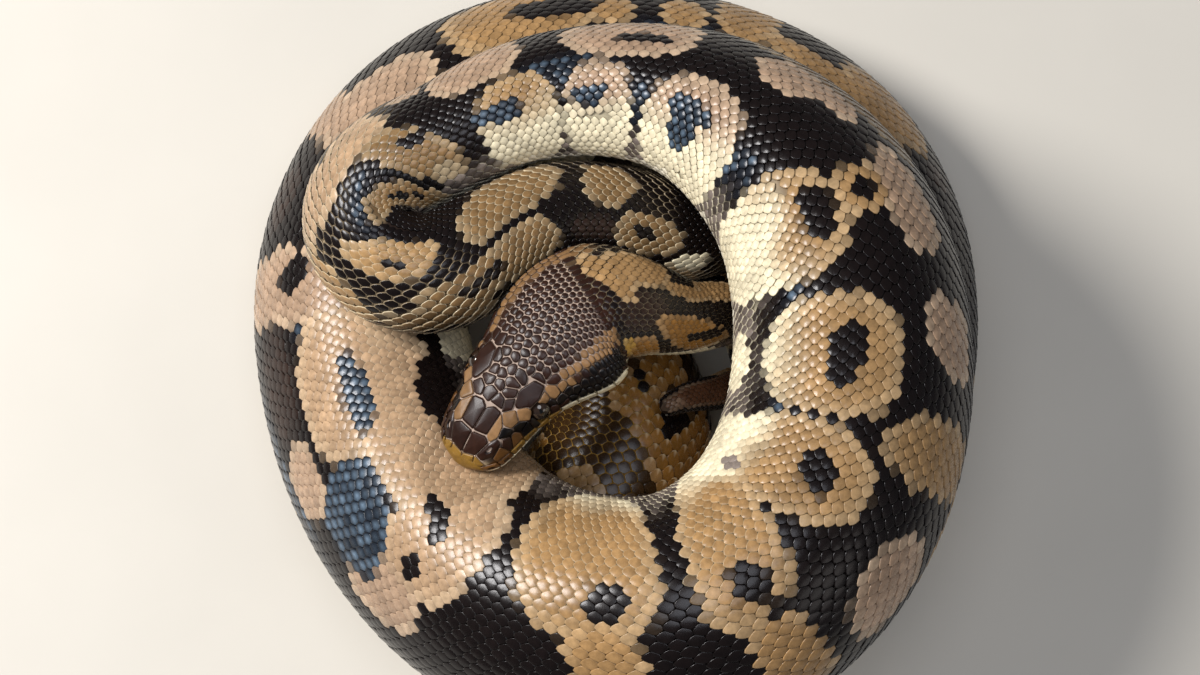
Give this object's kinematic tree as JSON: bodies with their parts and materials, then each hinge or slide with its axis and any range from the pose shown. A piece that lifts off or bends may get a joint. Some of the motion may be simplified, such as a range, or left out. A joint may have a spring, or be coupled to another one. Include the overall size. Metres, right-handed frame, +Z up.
{
  "type": "ball python, coiled, still model",
  "caption": "Life-size still model of a ball python resting in a loose coil, head laid on top of its laps, in brown-black and tan patterned scales.",
  "frame": {"origin": "on the floor, under the middle of the coil's outline", "axes": "+Z up; +Y towards the back of the coil, away from the viewer who sees the head point to the left and front; +X to that viewer's right"},
  "size_m": [0.1764, 0.1892, 0.0972],
  "materials": {
    "scaled_skin": "smooth overlapping scales, satin sheen, dark brown net round tan patches that pale to cream on the flanks",
    "head_skin": "dark brown plates with pale seams, satin",
    "lip_skin": "cream to golden lip and chin scales, satin",
    "eye": "clear wet gloss over a dark brown iris and a black slit pupil"
  },
  "bodies": {
    "root": {"head": "head_skin", "lower_jaw": "lip_skin", "eye_left": "eye", "eye_right": "eye", "neck": "scaled_skin", "throat_bend": "scaled_skin", "forebody_1": "scaled_skin", "forebody_2": "scaled_skin", "trunk_1": "scaled_skin", "trunk_2": "scaled_skin", "trunk_3": "scaled_skin", "trunk_4": "scaled_skin", "trunk_5": "scaled_skin", "trunk_6": "scaled_skin", "trunk_7": "scaled_skin", "trunk_8": "scaled_skin", "trunk_9": "scaled_skin", "vent_turn": "scaled_skin", "tail": "scaled_skin"}
  },
  "joints": []
}
